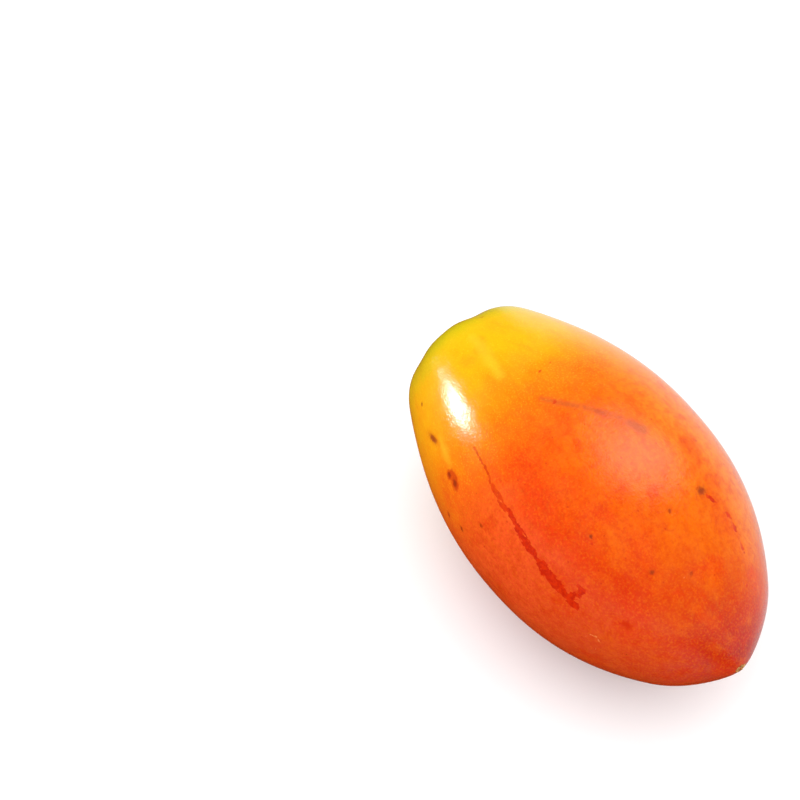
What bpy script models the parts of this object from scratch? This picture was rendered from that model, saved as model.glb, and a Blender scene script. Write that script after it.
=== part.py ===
"""A ripe tamarillo, as picked, lying on its side on a small flat spot.

The fruit is one solid: an egg shape turned about the X axis, with the stem end at -X and the blossom
end at +X. Soft lobes round the stem end show where the calyx sat. The fallen stalk has left a corky
scar there, and the flower's style has left a small dry nub at the blossom end.
Sizes are in millimetres and become metres where the mesh is made. Z is up. A turn is an angle round
the fruit's axis, from +Y towards +Z.
"""

import math

import bmesh
import bpy
from mathutils import Vector

MM = 0.001

# Driving dimensions, measured from the widest section of the fruit
HALF_WIDTH = 24.0
STEM_LENGTH = 41.1
BLOSSOM_LENGTH = 42.3
LENGTH = STEM_LENGTH + BLOSSOM_LENGTH

# Each flank narrows as 1 - (distance / reach) ** power, and its end closes with a rounded cap
STEM_REACH = 54.5
STEM_POWER = 2.0
STEM_CAP = 9.4
STEM_BLUNTNESS = 4.8
BLOSSOM_REACH = 47.4
BLOSSOM_POWER = 2.37
BLOSSOM_CAP = 10.0
BLOSSOM_BLUNTNESS = 2.8

# Lobes of the stem end: five broad ones with valleys between, and finer folds on them
LOBES = 5
LOBE_TURN = math.radians(45.0)
LOBE_DEPTH = 0.36
LOBE_FADE = 15.0
DEEPEST_VALLEY_TURN = math.radians(-10.0)
VALLEY_VARIETY = 0.85
CREST_HEIGHT = 0.29
CREST_PLACE = 5.0
CREST_WIDTH = 6.0
FOLD_DEPTH = 0.14
FOLD_FADE = 17.0
LOBES_FULL_RADIUS = 9.0

# A lip on each lobe, where the calyx pressed on the skin, and the dip beyond it
LIP_RADIUS = 6.7
LIP_WIDTH = 1.5
LIP_HEIGHT = 0.3
DIP_RADIUS = 9.2
DIP_WIDTH = 1.7
DIP_DEPTH = 0.2
SADDLE_RADIUS = 5.5
SADDLE_DEPTH = 0.5

# Corky scar of the stalk: a low disc with a hollow middle, in a narrow groove
SCAR_RADIUS = 4.2
SCAR_WAVE = 0.18
SCAR_HEIGHT = 0.35
SCAR_HOLLOW = 0.25
GROOVE_WIDTH = 0.35
GROOVE_DEPTH = 0.25

# Dry nub of the style at the blossom end
NUB_RADIUS = 1.2
NUB_HEIGHT = 0.35

# The stem end grew a little askew, so it leans towards one turn
END_TILT = 0.033
END_TILT_TURN = math.radians(270.0)
END_TILT_FADE = 14.0

# Slow unevenness of the whole body
OVAL_WARP = 0.19
OVAL_START = 1.28
OVAL_TWIST = 0.027
THREE_SIDED_WARP = 0.04
THREE_SIDED_START = 0.9
THREE_SIDED_TWIST = -0.043

# The underside is flattened this much where the fruit lies, which keeps it from rolling
FLAT_SAG = 0.45

# Mesh density
AROUND = 72
STEM_CAP_RINGS = 15
FLANK_RINGS = 22
BLOSSOM_CAP_RINGS = 9
DISC_SHARES = (0.35, 0.7, 0.92)
NUB_SHARES = (0.9, 0.5)

SKIN_COLOUR = (0.86, 0.17, 0.02, 1.0)
SKIN_ROUGHNESS = 0.28


def flank_radius(along):
    """Radius of the tapering flank, without its end caps, at a distance from the stem end."""
    offset = along - STEM_LENGTH
    if offset < 0:
        return HALF_WIDTH * (1 - (-offset / STEM_REACH) ** STEM_POWER)
    return HALF_WIDTH * (1 - (offset / BLOSSOM_REACH) ** BLOSSOM_POWER)


def cap_share(distance, cap, bluntness):
    """How far a cap has opened, from 0 at the end of the fruit to 1 where the flank takes over."""
    left = 1 - min(max(distance / cap, 0.0), 1.0)
    return math.sqrt(1 - left**bluntness)


def body_radius(along):
    """Radius of the plain turned body."""
    stem = cap_share(along, STEM_CAP, STEM_BLUNTNESS)
    blossom = cap_share(LENGTH - along, BLOSSOM_CAP, BLOSSOM_BLUNTNESS)
    return flank_radius(along) * stem * blossom


def body_normal(along):
    """Outward direction of the plain body, as its parts along the axis and away from the axis."""
    step = 0.02
    before = max(along - step, 0.0)
    after = min(along + step, LENGTH)
    rise = body_radius(after) - body_radius(before)
    run = after - before
    return -rise / math.hypot(rise, run), run / math.hypot(rise, run)


def bell(distance, width):
    return math.exp(-((distance / width) ** 2))


def calyx_relief(along, radius, turn):
    """Lobes, folds, lips and dips that the calyx left round the stem end."""
    crest = 0.5 + 0.5 * math.cos(LOBES * (turn - LOBE_TURN))
    fold = math.cos(2 * LOBES * (turn - LOBE_TURN))
    growth = min(radius / LOBES_FULL_RADIUS, 1.0)
    depth = LOBE_DEPTH * (1 + VALLEY_VARIETY * math.cos(turn - DEEPEST_VALLEY_TURN))
    height = -depth * (1 - crest) * growth * bell(along, LOBE_FADE)
    height -= FOLD_DEPTH * fold * growth * bell(along, FOLD_FADE)
    height += CREST_HEIGHT * crest * bell(along - CREST_PLACE, CREST_WIDTH)
    if along < STEM_CAP:
        height += LIP_HEIGHT * crest**2 * bell(radius - LIP_RADIUS, LIP_WIDTH)
        height -= DIP_DEPTH * crest**2 * bell(radius - DIP_RADIUS, DIP_WIDTH)
        height -= SADDLE_DEPTH * bell(radius, SADDLE_RADIUS)
    return height


def body_warp(along, radius, turn):
    """Slow unevenness that keeps the body from being perfectly round."""
    oval = OVAL_WARP * math.sin(2 * turn + OVAL_START + OVAL_TWIST * along)
    swing = THREE_SIDED_START + THREE_SIDED_TWIST * along
    three_sided = THREE_SIDED_WARP * math.sin(3 * turn + swing)
    return (oval + three_sided) * radius / HALF_WIDTH


def skin_point(along, turn):
    radius = body_radius(along)
    height = calyx_relief(along, radius, turn) + body_warp(along, radius, turn)
    normal_along, normal_out = body_normal(along)
    out = radius + height * normal_out
    lean = END_TILT * out * math.cos(turn - END_TILT_TURN) * bell(along, END_TILT_FADE)
    return Vector((along + height * normal_along - lean, out * math.cos(turn), out * math.sin(turn)))


def cap_stations(end_radius, first_radius, cap, bluntness, count):
    """Distances from an end of the fruit that are evenly spaced round its cap, from first_radius on."""
    first = math.asin(first_radius / end_radius)
    angles = [first + (math.pi / 2 - first) * step / count for step in range(count)]
    return [cap * (1 - math.cos(angle) ** (2 / bluntness)) for angle in angles]


def skin_stations():
    """Distances along the axis of the skin's rings, from the stem scar to the style's nub."""
    scar_rim = SCAR_RADIUS + GROOVE_WIDTH
    stem = cap_stations(flank_radius(0), scar_rim, STEM_CAP, STEM_BLUNTNESS, STEM_CAP_RINGS)
    blossom = cap_stations(
        flank_radius(LENGTH), NUB_RADIUS, BLOSSOM_CAP, BLOSSOM_BLUNTNESS, BLOSSOM_CAP_RINGS
    )
    flank_length = LENGTH - STEM_CAP - BLOSSOM_CAP
    flank = [STEM_CAP + flank_length * step / FLANK_RINGS for step in range(FLANK_RINGS + 1)]
    return stem + flank + [LENGTH - distance for distance in reversed(blossom)]


def turns():
    return [2 * math.pi * step / AROUND for step in range(AROUND)]


def scar_point(share, height, turn):
    """A point of the corky disc, at a share of its radius and a height over the skin beside it."""
    edge = SCAR_RADIUS + SCAR_WAVE * math.sin(2 * turn) + SCAR_WAVE * math.cos(5 * turn) / 2
    beside = skin_point(skin_stations()[0], turn).x
    return Vector((beside - height, share * edge * math.cos(turn), share * edge * math.sin(turn)))


def scar_rings():
    """The hollow disc from its middle to its rim, and the foot of its rim in the groove."""
    disc = [
        [scar_point(share, SCAR_HEIGHT - SCAR_HOLLOW * (1 - share), turn) for turn in turns()]
        for share in DISC_SHARES
    ]
    return disc + [[scar_point(1.0, -GROOVE_DEPTH, turn) for turn in turns()]]


def nub_ring(share):
    height = NUB_HEIGHT * math.sqrt(1 - share**2)
    base = skin_point(skin_stations()[-1], 0.0).x
    out = share * NUB_RADIUS
    return [Vector((base + height, out * math.cos(turn), out * math.sin(turn))) for turn in turns()]


def fruit_rings():
    """All rings of the surface, from the middle of the scar to the tip of the nub."""
    skin = [[skin_point(along, turn) for turn in turns()] for along in skin_stations()]
    return scar_rings() + skin + [nub_ring(share) for share in NUB_SHARES]


def closed_mesh(rings):
    mesh = bmesh.new()
    loops = [[mesh.verts.new(point) for point in ring] for ring in rings]
    for near, far in zip(loops, loops[1:]):
        for step in range(AROUND):
            after = (step + 1) % AROUND
            mesh.faces.new((near[step], near[after], far[after], far[step]))
    mesh.faces.new(loops[0])
    mesh.faces.new(loops[-1])
    return mesh


def lay_on_flat_spot(mesh):
    """Cuts the lowest sliver off and closes the cut with one flat face. Returns the floor's height."""
    floor = min(vertex.co.z for vertex in mesh.verts) + FLAT_SAG
    everything = mesh.verts[:] + mesh.edges[:] + mesh.faces[:]
    cut = bmesh.ops.bisect_plane(
        mesh, geom=everything, plane_co=(0, 0, floor), plane_no=(0, 0, 1), clear_inner=True
    )
    rim = [item for item in cut["geom_cut"] if isinstance(item, bmesh.types.BMEdge)]
    bmesh.ops.contextual_create(mesh, geom=rim)
    bmesh.ops.recalc_face_normals(mesh, faces=mesh.faces)
    return floor


def middle_of(mesh, axis):
    places = [vertex.co[axis] for vertex in mesh.verts]
    return (min(places) + max(places)) / 2


def skin_material():
    material = bpy.data.materials.new("ripe_skin")
    material.use_nodes = True
    shader = material.node_tree.nodes["Principled BSDF"]
    shader.inputs["Base Color"].default_value = SKIN_COLOUR
    shader.inputs["Roughness"].default_value = SKIN_ROUGHNESS
    shader.inputs["Metallic"].default_value = 0.0
    return material


def build_fruit():
    mesh = closed_mesh(fruit_rings())
    floor = lay_on_flat_spot(mesh)
    origin = Vector((middle_of(mesh, 0), middle_of(mesh, 1), floor))
    bmesh.ops.translate(mesh, verts=mesh.verts, vec=-origin)
    bmesh.ops.scale(mesh, verts=mesh.verts, vec=(MM, MM, MM))
    data = bpy.data.meshes.new("fruit")
    mesh.to_mesh(data)
    mesh.free()
    data.materials.append(skin_material())
    data.shade_smooth()
    fruit = bpy.data.objects.new("fruit", data)
    bpy.context.scene.collection.objects.link(fruit)


def clear_scene():
    for old in list(bpy.data.objects):
        bpy.data.objects.remove(old)


clear_scene()
build_fruit()
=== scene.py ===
"""Looks for a ripe tamarillo that lies on its side, as picked.

The skin is one fine closed mesh with the fruit's lobes, calyx lips, slow unevenness and sunken spots.
The corky scar of the stalk and the dry remains of the style are pieces of their own, set into it.
Sizes are in millimetres and become metres where a mesh is made. Z is up, and +X points from the stem
end to the blossom end. "Along" is the distance from the stem end. A turn is an angle round the
fruit's axis, in degrees, from +Y towards +Z.
"""

import math

import bpy
import numpy as np
from mathutils import Matrix, Vector, noise


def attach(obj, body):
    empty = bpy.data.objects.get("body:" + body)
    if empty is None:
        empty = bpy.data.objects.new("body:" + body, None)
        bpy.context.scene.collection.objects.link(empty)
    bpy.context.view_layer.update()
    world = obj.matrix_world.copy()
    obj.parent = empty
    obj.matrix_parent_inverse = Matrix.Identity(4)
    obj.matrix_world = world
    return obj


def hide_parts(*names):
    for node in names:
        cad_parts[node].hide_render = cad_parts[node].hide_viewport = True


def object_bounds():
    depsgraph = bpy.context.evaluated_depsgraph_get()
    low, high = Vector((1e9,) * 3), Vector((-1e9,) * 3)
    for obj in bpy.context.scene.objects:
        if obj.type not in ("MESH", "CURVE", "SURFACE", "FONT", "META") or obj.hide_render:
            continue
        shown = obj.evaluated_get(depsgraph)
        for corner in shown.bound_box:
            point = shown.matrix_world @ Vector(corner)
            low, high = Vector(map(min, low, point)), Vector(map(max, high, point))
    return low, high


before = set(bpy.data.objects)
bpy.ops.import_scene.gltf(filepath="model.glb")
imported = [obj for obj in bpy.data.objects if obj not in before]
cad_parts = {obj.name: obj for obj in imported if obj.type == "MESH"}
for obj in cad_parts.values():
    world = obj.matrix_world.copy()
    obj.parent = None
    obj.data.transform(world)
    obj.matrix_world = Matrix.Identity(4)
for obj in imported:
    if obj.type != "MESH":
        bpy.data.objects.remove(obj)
cad_low, cad_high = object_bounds()

MM = 0.001

# Body, as the frame's solid has it, but with shallower folds
HALF_WIDTH = 24.0
STEM_LENGTH = 41.1
BLOSSOM_LENGTH = 42.3
LENGTH = STEM_LENGTH + BLOSSOM_LENGTH
STEM_REACH = 54.5
STEM_POWER = 2.0
STEM_CAP = 9.4
STEM_BLUNTNESS = 4.8
BLOSSOM_REACH = 47.4
BLOSSOM_POWER = 2.37
BLOSSOM_CAP = 10.0
BLOSSOM_BLUNTNESS = 2.8
LOBES = 5
LOBE_TURN = 45.0
LOBE_DEPTH = 0.36
LOBE_FADE = 15.0
DEEPEST_VALLEY_TURN = -10.0
VALLEY_VARIETY = 0.85
CREST_HEIGHT = 0.29
CREST_PLACE = 5.0
CREST_WIDTH = 6.0
FOLD_DEPTH = 0.05
FOLD_FADE = 17.0
LOBES_FULL_RADIUS = 9.0
LIP_RADIUS = 6.7
LIP_WIDTH = 1.5
LIP_HEIGHT = 0.3
DIP_RADIUS = 9.2
DIP_WIDTH = 1.7
DIP_DEPTH = 0.2
SADDLE_RADIUS = 5.5
SADDLE_DEPTH = 0.5
END_TILT = 0.033
END_TILT_TURN = 270.0
END_TILT_FADE = 14.0
OVAL_WARP = 0.19
OVAL_START = 1.28
OVAL_TWIST = 0.027
THREE_SIDED_WARP = 0.04
THREE_SIDED_START = 0.9
THREE_SIDED_TWIST = -0.043
FLAT_SAG = 0.45

# The solid's own nub of the style, whose tip tells where the solid lies along X
NUB_RADIUS = 1.2
NUB_RISE = 0.303

# The skin stays this far inside the solid, so that its finer curves keep within the solid's box
SKIN_INSET = 0.03

# Scar of the stalk: a corky disc with a torn dark rim, in a shallow seat in the skin
SCAR_RADIUS = 4.3
SCAR_WAVE = 0.18
SCAR_HEIGHT = 0.12
SCAR_FOOT = 0.5
SCAR_HEADROOM = 0.01
SCAR_MIDDLE_SHARE = 0.03
SCAR_FIRST_SINK = 0.25
SCAR_SIDE_RINGS = 4
RIM_SHARE = 0.93
RIM_WIDTH = 0.055
RIM_HEIGHT = 0.14
PIT_DEPTH = 0.42
PIT_WANDER = 0.25
PIT_LUMP = 0.9
SEAT_RADIUS = 4.5
SEAT_DEPTH = 0.45
SEAT_SHARES = (0.3, 0.6, 0.9, 0.985)

# Raised patch in the middle of the scar: the weights of Y and Z and the shift that give each of its two
# pairs of sides, and the distances from the middle at its foot and its top
PATCH_HEIGHT = 0.16
PATCH_SIDES = ((0.9, 0.3, 0.1), (-0.3, 0.95, -0.15))
PATCH_FOOT = 1.75
PATCH_TOP = 1.45

# Hollows between the scar's middle patch and its rim: turn, share of the radius, length and width in mm
SCAR_PITS = (
    (118.0, 0.62, 1.5, 0.6),
    (55.0, 0.64, 1.3, 0.55),
    (192.0, 0.6, 2.4, 0.7),
    (318.0, 0.62, 2.6, 0.5),
    (258.0, 0.7, 1.4, 0.5),
)

# Dry remains of the style: a ragged little crater on a root that is set into the skin
STYLE_RADIUS = 0.95
STYLE_HEIGHT = 0.26
STYLE_INSET = 0.06
STYLE_SEAT = 0.05
STYLE_SIDE_DEPTH = 0.12
STYLE_ROOT_DEPTH = 0.44
STYLE_ROOT_SHARE = 0.7
STYLE_EVENNESS = 0.62
STYLE_TEAR_REACH = 1.5
CRATER_DEPTH = 0.16
CRATER_SHARE = 0.3

# Unevenness of the two scars: its height in mm or as a share, the size of its lumps in mm, and a number
# that gives each its own pattern
RIM_TEAR = (0.11, 0.5, 3.0)
RIM_CRESTS = (0.8, 0.45, 9.0)
PATCH_TEAR = (0.18, 1.1, 7.0)
CORK_GRAIN = (0.05, 0.35, 1.0)
CORK_WAVE = (0.06, 1.2, 5.0)
STYLE_TEAR = (0.22, 0.8, 2.0)
STYLE_FLAKES = (0.38, 0.35, 4.0)

# How fast the unevenness fades from lump to finer lump, how much finer each is, and how many there are
FRACTAL_FADE = 0.9
FRACTAL_STEP = 2.0
FRACTAL_LAYERS = 3

# Flanks with a colour of their own: the turn that each is centred on. The upper and right flanks are more
# yellow; on the left flank a pale pink painted sheen is laid
UPPER_FLANK_TURN = 78.0
RIGHT_FLANK_TURN = 30.0
LEFT_FLANK_TURN = 172.0

# Mesh density
AROUND = 432
STEM_CAP_RINGS = 44
FLANK_RINGS = 128
BLOSSOM_CAP_RINGS = 36
SCAR_AROUND = 220
SCAR_RINGS = 48
TIP_RADIUS = 0.3
STYLE_AROUND = 80
STYLE_RINGS = 18

# Ragged red streaks: points with their along, turn and half width
RED_STREAKS = (
    ((29.2, 138.0, 0.12), (31.5, 138.6, 0.16), (34.6, 139.6, 0.22), (36.0, 140.6, 0.12)),
    ((36.2, 141.4, 0.14), (38.0, 142.8, 0.2), (39.6, 143.6, 0.16), (41.2, 144.6, 0.24), (42.4, 144.6, 0.12)),
    ((36.2, 141.4, 0.12), (38.4, 141.4, 0.14), (40.8, 142.8, 0.2), (44.2, 144.4, 0.4), (47.4, 146.7, 0.5)),
    ((47.4, 146.7, 0.5), (48.8, 147.6, 0.68), (50.6, 148.6, 0.6), (51.5, 149.2, 0.42)),
    ((51.9, 149.4, 0.25), (53.0, 150.0, 0.8), (55.4, 151.4, 0.98), (57.4, 152.4, 0.9), (58.0, 152.7, 0.7)),
    ((58.7, 153.3, 0.45), (59.8, 154.2, 0.75), (61.6, 156.0, 0.6)),
    ((59.8, 153.2, 0.6), (60.6, 149.8, 0.42), (61.2, 146.4, 0.4), (60.0, 145.8, 0.24)),
    ((61.4, 67.6, 0.25), (62.4, 65.6, 0.45), (63.2, 63.6, 0.08)),
    ((64.6, 60.8, 0.06), (65.6, 58.8, 0.32), (66.4, 58.0, 0.04), (67.7, 57.3, 0.36)),
    ((69.4, 57.0, 0.03), (71.2, 56.0, 0.28)),
    ((68.2, 149.8, 0.1), (69.6, 147.4, 0.2)),
    ((21.0, 262.0, 0.12), (30.0, 266.0, 0.3), (39.0, 268.5, 0.6), (47.0, 274.0, 0.25)),
    ((44.0, 331.0, 0.1), (52.0, 327.0, 0.22), (57.0, 326.0, 0.5), (61.0, 322.5, 0.15)),
    ((28.0, 12.0, 0.08), (34.0, 9.0, 0.18), (38.0, 8.5, 0.12)),
)

# Soft grey smears, as a rubbed skin shows: points with their along, turn and half width
SMEARS = (
    ((31.6, 101.5, 0.1), (34.4, 97.7, 0.35), (37.0, 92.5, 0.22), (39.9, 87.2, 0.4), (43.1, 81.8, 0.3)),
    ((44.4, 80.0, 0.5), (46.6, 77.4, 0.9)),
    ((55.0, 240.0, 0.2), (60.0, 236.0, 0.5), (63.0, 231.0, 0.2)),
)

# Pale healed scuffs: points with their along, turn and half width
SCUFFS = (
    ((64.8, 170.2, 0.06), (65.5, 166.5, 0.12), (66.4, 166.0, 0.13), (67.2, 169.0, 0.14), (66.9, 176.8, 0.08)),
    ((70.4, 104.0, 0.06), (70.5, 102.7, 0.11), (70.5, 99.5, 0.08)),
    ((36.0, 305.0, 0.05), (37.5, 307.0, 0.12), (39.5, 307.5, 0.06)),
)

# Painted highlights: paler bands that run down from the calyx, where light gleams on the lobes
RIB_HIGHLIGHTS = (
    ((9.5, 103.0, 0.2), (13.3, 103.7, 0.5), (18.0, 106.6, 0.7), (22.2, 107.9, 0.3)),
    ((21.5, 152.0, 0.2), (24.5, 153.5, 0.6), (27.0, 154.0, 0.2)),
    ((10.0, 207.0, 0.2), (17.0, 210.0, 0.6), (24.0, 209.0, 0.3)),
    ((12.0, 262.0, 0.3), (20.0, 259.0, 0.7), (27.0, 260.0, 0.2)),
    ((11.0, 336.0, 0.2), (16.0, 333.0, 0.6), (21.0, 334.0, 0.3)),
)

# Brown spots: along, turn, half length, half width and heading from the axis in degrees
BROWN_SPOTS = (
    (19.9, 156.9, 1.75, 0.55, -22.0),
    (28.0, 158.0, 0.6, 0.5, 0.0),
    (30.1, 157.7, 0.8, 0.6, 30.0),
    (35.5, 172.7, 0.55, 0.42, 20.0),
    (31.1, 176.3, 0.6, 0.42, 75.0),
    (39.5, 159.7, 0.42, 0.36, 0.0),
    (11.9, 156.6, 0.4, 0.3, 0.0),
    (60.5, 69.6, 1.1, 0.8, 80.0),
    (66.9, 115.6, 0.5, 0.42, 0.0),
    (70.6, 99.0, 0.5, 0.32, 60.0),
    (61.1, 90.3, 0.42, 0.34, 30.0),
    (56.4, 124.8, 0.42, 0.36, 0.0),
    (71.5, 169.0, 0.24, 0.2, 0.0),
    (70.7, 23.0, 0.34, 0.26, 0.0),
    (8.3, 97.4, 0.4, 0.2, 40.0),
    (5.3, 82.7, 0.34, 0.2, 120.0),
)

# Small red spots, stated in the same way
RED_SPOTS = (
    (26.5, 93.1, 0.45, 0.3, 60.0),
    (25.8, 86.1, 0.3, 0.2, 60.0),
    (28.1, 157.9, 0.95, 0.85, 0.0),
    (28.4, 156.2, 0.9, 0.65, 80.0),
    (29.4, 155.6, 1.0, 0.65, 10.0),
    (30.2, 157.6, 1.35, 1.1, 30.0),
    (69.5, 147.9, 1.1, 0.8, 20.0),
    (69.6, 147.7, 0.5, 0.4, 20.0),
    (75.6, 61.2, 0.4, 0.3, 0.0),
    (49.3, 93.5, 0.34, 0.24, 0.0),
    (33.7, 98.6, 0.6, 0.3, 70.0),
    (62.3, 66.2, 0.42, 0.22, 75.0),
    (57.4, 126.8, 0.3, 0.24, 0.0),
    (76.0, 92.0, 0.42, 0.28, 30.0),
)

# Broad soft red blooms, stated in the same way
RED_BLOOMS = (
    (66.0, 62.0, 6.0, 2.8, -5.0),
    (34.0, 104.0, 5.5, 3.4, -20.0),
    (63.0, 112.0, 5.0, 3.0, 20.0),
    (69.5, 146.0, 5.0, 2.6, 60.0),
    (44.0, 128.0, 7.0, 3.0, 10.0),
    (52.0, 250.0, 9.0, 4.0, 5.0),
    (60.0, 330.0, 8.0, 4.0, -15.0),
)

# Spots that are scattered over the sides that have no stated ones
SCATTER_SEED = 11
SCATTER_COUNT = 46
SCATTER_FIRST_TURN = 188.0
SCATTER_LAST_TURN = 400.0
SCATTER_ALONG = (7.0, 79.0)
SCATTER_SMALLEST = 0.2
SCATTER_GROWTH = 0.55
SCATTER_NARROWNESS = (0.5, 0.95)

# How far from a mark its field is worked out, and how finely its path is followed
PATH_REACH = 4.0
PATH_STEPS = 10
SPOT_REACH = 4.0
ALONG_STEP = 0.1
TURN_STEP = 0.3

# How deep the skin is sunk in brown spots and red streaks, and how far that reaches round their edges
SPOT_SINK = 0.05
SPOT_SINK_REACH = 0.9
STREAK_SINK = 0.025
STREAK_SINK_REACH = 0.3

# Camera, at the angle from which the fruit is seen
CAMERA_LENS_MM = 100.0
CAMERA_SENSOR_MM = 36.0
CAMERA_TURN = 55.23
CAMERA_ELEVATION = 55.0
CAMERA_DISTANCE = 394.6
CAMERA_AIM_RIGHT = -33.8
CAMERA_AIM_UP = 17.17
CAMERA_NEAR = 0.01
AXIS_HEIGHT = 23.8


def bell(distance, width):
    return np.exp(-((distance / width) ** 2))


def smooth_step(value, low, high):
    share = np.clip((value - low) / (high - low), 0.0, 1.0)
    return share * share * (3 - 2 * share)


def flank_radius(along):
    offset = np.asarray(along, float) - STEM_LENGTH
    stem = 1 - (np.abs(offset) / STEM_REACH) ** STEM_POWER
    blossom = 1 - (np.abs(offset) / BLOSSOM_REACH) ** BLOSSOM_POWER
    return HALF_WIDTH * np.where(offset < 0, stem, blossom)


def cap_share(distance, cap, bluntness):
    left = 1 - np.clip(distance / cap, 0.0, 1.0)
    return np.sqrt(1 - left**bluntness)


def body_radius(along):
    """Radius of the plain turned body."""
    stem = cap_share(along, STEM_CAP, STEM_BLUNTNESS)
    blossom = cap_share(LENGTH - along, BLOSSOM_CAP, BLOSSOM_BLUNTNESS)
    return flank_radius(along) * stem * blossom


def body_normal(along):
    """Outward direction of the plain body, as its parts along the axis and away from the axis."""
    step = 0.02
    before = np.maximum(along - step, 0.0)
    after = np.minimum(along + step, LENGTH)
    rise = body_radius(after) - body_radius(before)
    run = after - before
    size = np.hypot(rise, run)
    return -rise / size, run / size


def lobe_crest(turn):
    return 0.5 + 0.5 * np.cos(LOBES * np.radians(turn - LOBE_TURN))


def lobe_band(along, radius, turn, middle, width):
    """How far a place is inside a band across the lobes of the stem end, from 0 to 1."""
    return (along < STEM_CAP) * lobe_crest(turn) ** 2 * bell(radius - middle, width)


def calyx_relief(along, radius, turn):
    """Lobes, folds, lips and dips that the calyx left round the stem end."""
    fold = np.cos(2 * LOBES * np.radians(turn - LOBE_TURN))
    growth = np.minimum(radius / LOBES_FULL_RADIUS, 1.0)
    depth = LOBE_DEPTH * (1 + VALLEY_VARIETY * np.cos(np.radians(turn - DEEPEST_VALLEY_TURN)))
    height = -depth * (1 - lobe_crest(turn)) * growth * bell(along, LOBE_FADE)
    height = height - FOLD_DEPTH * fold * growth * bell(along, FOLD_FADE)
    height = height + CREST_HEIGHT * lobe_crest(turn) * bell(along - CREST_PLACE, CREST_WIDTH)
    height = height + LIP_HEIGHT * lobe_band(along, radius, turn, LIP_RADIUS, LIP_WIDTH)
    height = height - DIP_DEPTH * lobe_band(along, radius, turn, DIP_RADIUS, DIP_WIDTH)
    return height - (along < STEM_CAP) * SADDLE_DEPTH * bell(radius, SADDLE_RADIUS)


def body_warp(along, radius, turn):
    """Slow unevenness that keeps the body from being perfectly round."""
    oval = OVAL_WARP * np.sin(2 * np.radians(turn) + OVAL_START + OVAL_TWIST * along)
    swing = THREE_SIDED_START + THREE_SIDED_TWIST * along
    three_sided = THREE_SIDED_WARP * np.sin(3 * np.radians(turn) + swing)
    return (oval + three_sided) * radius / HALF_WIDTH


def skin_points(along, turn, lift=0.0):
    """Points of the skin before the fruit is laid down, moved off it by a height."""
    along, turn = np.broadcast_arrays(np.asarray(along, float), np.asarray(turn, float))
    radius = body_radius(along)
    height = calyx_relief(along, radius, turn) + body_warp(along, radius, turn) + lift
    normal_along, normal_out = body_normal(along)
    out = radius + height * normal_out
    angle = np.radians(turn)
    lean = END_TILT * out * np.cos(np.radians(turn - END_TILT_TURN)) * bell(along, END_TILT_FADE)
    far = along + height * normal_along - lean
    return np.stack([far, out * np.cos(angle), out * np.sin(angle)], axis=-1)


def cap_stations(end_radius, first_radius, cap, bluntness, count):
    """Distances from an end of the fruit, evenly spaced round its cap, from first_radius on."""
    first = math.asin(first_radius / end_radius)
    angles = first + (math.pi / 2 - first) * np.arange(count) / count
    return cap * (1 - np.cos(angles) ** (2 / bluntness))


def skin_stations():
    """Distances along the axis of the skin's rings."""
    stem_end = float(flank_radius(0.0))
    blossom_end = float(flank_radius(LENGTH))
    stem = cap_stations(stem_end, SEAT_RADIUS, STEM_CAP, STEM_BLUNTNESS, STEM_CAP_RINGS)
    tip = cap_stations(blossom_end, TIP_RADIUS, BLOSSOM_CAP, BLOSSOM_BLUNTNESS, BLOSSOM_CAP_RINGS)
    flank = np.linspace(STEM_CAP, LENGTH - BLOSSOM_CAP, FLANK_RINGS + 1)
    return np.concatenate([stem, flank, LENGTH - tip[::-1]])


def path_field(points, paths):
    """Distance in mm from each point to the nearest path's edge, negative inside, and its half width."""
    nearest = np.full(len(points), PATH_REACH)
    width = np.zeros(len(points))
    for path in paths:
        marks = np.array(path)
        places = np.linspace(0, len(marks) - 1, PATH_STEPS * (len(marks) - 1) + 1)
        along, turn, half_width = (np.interp(places, range(len(marks)), column) for column in marks.T)
        line = skin_points(along, turn)
        low, high = line.min(axis=0) - PATH_REACH, line.max(axis=0) + PATH_REACH
        near = np.nonzero(((points > low) & (points < high)).all(axis=1))[0]
        away = np.linalg.norm(points[near, None, :] - line[None], axis=2) - half_width[None]
        closer = away.min(axis=1) < nearest[near]
        width[near] = np.where(closer, half_width[away.argmin(axis=1)], width[near])
        nearest[near] = np.minimum(nearest[near], away.min(axis=1))
    return nearest, width


def spot_field(points, spots):
    """Distance from each point to the middle of the nearest spot, as a multiple of that spot's size."""
    nearest = np.full(len(points), SPOT_REACH)
    for along, turn, half_length, half_width, heading in spots:
        middle, ahead, beside = skin_points(
            [along, along + ALONG_STEP, along], [turn, turn, turn + TURN_STEP]
        )
        forward = (ahead - middle) / np.linalg.norm(ahead - middle)
        aside = (beside - middle) / np.linalg.norm(beside - middle)
        swing = math.radians(heading)
        near = np.nonzero((np.abs(points - middle) < SPOT_REACH * half_length).all(axis=1))[0]
        gap = points[near] - middle
        run = gap @ (forward * math.cos(swing) + aside * math.sin(swing))
        side = gap @ (aside * math.cos(swing) - forward * math.sin(swing))
        nearest[near] = np.minimum(nearest[near], np.hypot(run / half_length, side / half_width))
    return nearest


def scattered_spots():
    """Small spots at random over the sides that have no stated ones."""
    draw = np.random.default_rng(SCATTER_SEED)
    spots = []
    for _ in range(SCATTER_COUNT):
        along = draw.uniform(*SCATTER_ALONG)
        turn = draw.uniform(SCATTER_FIRST_TURN, SCATTER_LAST_TURN) % 360.0
        half_length = SCATTER_SMALLEST + SCATTER_GROWTH * draw.random() ** 3
        half_width = half_length * draw.uniform(*SCATTER_NARROWNESS)
        spots.append((along, turn, half_length, half_width, draw.uniform(0.0, 180.0)))
    return tuple(spots)


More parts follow.
